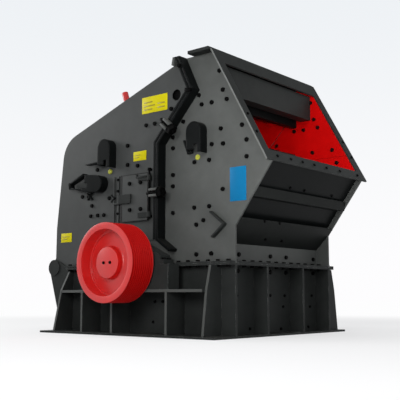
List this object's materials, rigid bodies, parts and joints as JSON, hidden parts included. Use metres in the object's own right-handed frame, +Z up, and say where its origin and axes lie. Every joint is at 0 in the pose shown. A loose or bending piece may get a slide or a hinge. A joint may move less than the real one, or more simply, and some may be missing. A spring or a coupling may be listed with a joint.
{
  "type": "impact crusher",
  "caption": "Horizontal shaft impact crusher with a ribbed base, a hinged rear housing, a sloped feed mouth, a bladed rotor and a grooved drive pulley.",
  "frame": {"origin": "on the ground, at the middle of the base plate", "axes": "+X to the feed side, +Y away from the drive pulley, +Z up"},
  "size_m": [2.935, 2.46, 2.677],
  "materials": {
    "casing_grey": "satin",
    "frame_dark": "satin",
    "base_black": "satin",
    "hood_black": "satin",
    "liner_red": "satin",
    "pulley_red": "satin",
    "bolt_black": "satin",
    "label_yellow": "satin",
    "label_blue": "satin",
    "curtain_rubber": "matte",
    "machined_steel": "satin",
    "cast_dark": "matte"
  },
  "bodies": {
    "root": {"base_plate": "base_black", "base_walls": "base_black", "side_ribs": "base_black", "end_ribs": "base_black", "shelf_plates": "base_black", "base_flange": "base_black", "bearing_pedestals": "base_black", "bearing_housings": "frame_dark", "shaft_cheeks": "casing_grey", "hinge_brackets": "frame_dark", "hinge_pins": "machined_steel", "front_side_plates": "casing_grey", "front_wall": "hood_black", "front_strip": "frame_dark", "front_ledges": "frame_dark", "front_flange": "frame_dark", "front_roof": "frame_dark", "roof_flange": "frame_dark", "feed_frame": "frame_dark", "feed_liners": "liner_red", "feed_beam": "frame_dark", "curtain_beam": "hood_black", "front_seam_flange": "hood_black", "front_apron": "cast_dark", "front_hoods": "hood_black"},
    "rotor": {"rotor_shaft": "machined_steel", "rotor_body": "cast_dark", "rotor_discs": "cast_dark", "blow_bars": "cast_dark", "drive_pulley": "pulley_red"},
    "rear_housing": {"rear_side_plates": "casing_grey", "rear_wall": "casing_grey", "rear_roof": "frame_dark", "rear_liners": "liner_red", "rear_flange": "frame_dark", "rear_seam_flange": "hood_black", "upper_apron": "cast_dark", "lower_apron": "cast_dark", "rear_hoods": "hood_black", "tie_rods": "liner_red", "door_rails": "frame_dark", "door_hinge_rod": "frame_dark"},
    "inspection_door": {"door_panel": "casing_grey", "door_straps": "frame_dark", "door_latch": "frame_dark"}
  },
  "joints": [
    {"name": "rotor_spin", "type": "hinge", "parent": "root", "child": "rotor", "pos_m": [0.04, 0, 0.681], "axis": [0, 1, 0], "continuous": true},
    {"name": "housing_hinge", "type": "hinge", "parent": "root", "child": "rear_housing", "pos_m": [-1.275, 0, 0.676], "axis": [0, -1, 0], "range_deg": [0, 40]},
    {"name": "door_swing", "type": "hinge", "parent": "rear_housing", "child": "inspection_door", "pos_m": [0.129, -0.841, 1.345], "axis": [0, 0, 1], "range_deg": [0, 110]}
  ]
}
